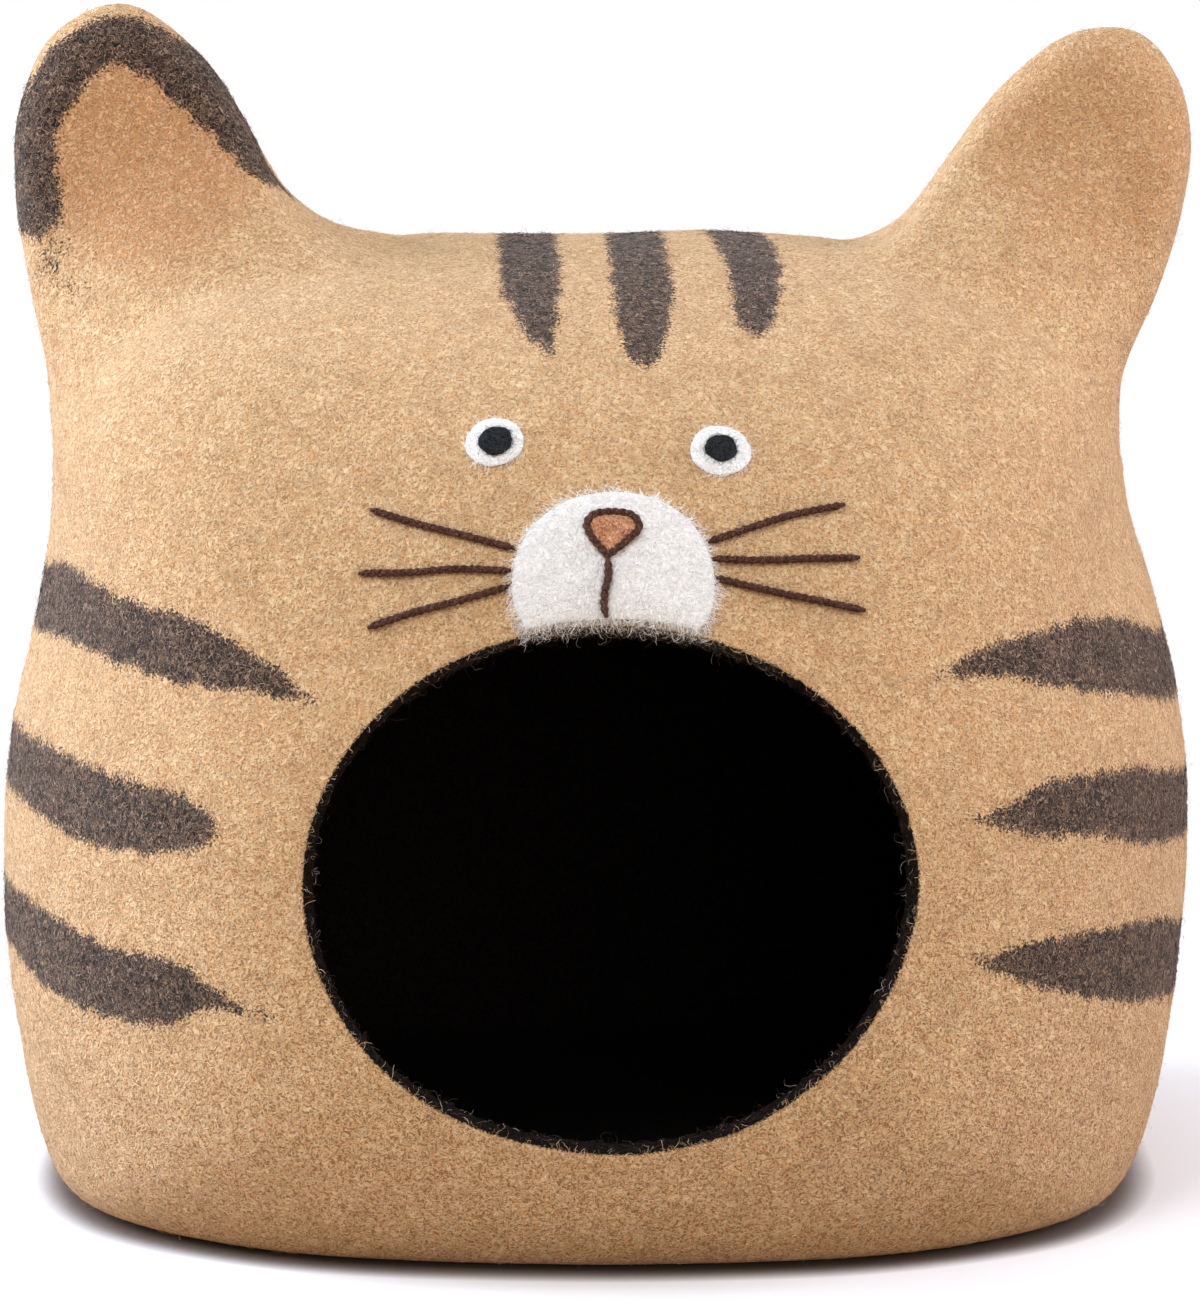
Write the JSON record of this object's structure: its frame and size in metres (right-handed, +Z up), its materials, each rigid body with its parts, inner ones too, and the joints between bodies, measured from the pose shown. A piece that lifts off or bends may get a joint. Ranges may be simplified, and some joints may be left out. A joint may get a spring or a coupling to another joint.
{
  "type": "felt cat cave",
  "caption": "Hollow wet-felted wool pet bed shaped like a cat's head, with two ears, a round door and a face of felt patches and stitched yarn.",
  "frame": {"origin": "on the floor, under the middle of the shell", "axes": "+Z up, the door and face look along -Y, +X to the right seen from the front"},
  "size_m": [0.4226, 0.3942, 0.4087],
  "materials": {
    "felt_tan": "wet-felted wool, matt, fuzzy, with dark brown stripes",
    "felt_white": "needle-felted wool, matt, fuzzy",
    "felt_terracotta": "needle-felted wool, matt",
    "felt_black": "needle-felted wool, matt",
    "yarn_brown": "two-ply wool yarn, matt"
  },
  "bodies": {
    "root": {"cave_shell": "felt_tan", "muzzle": "felt_white", "nose": "felt_terracotta", "nose_outline": "yarn_brown", "mouth_line": "yarn_brown", "eye_left": "felt_white", "eye_right": "felt_white", "pupil_left": "felt_black", "pupil_right": "felt_black", "whisker_left_1": "yarn_brown", "whisker_left_2": "yarn_brown", "whisker_left_3": "yarn_brown", "whisker_right_1": "yarn_brown", "whisker_right_2": "yarn_brown", "whisker_right_3": "yarn_brown"}
  },
  "joints": []
}
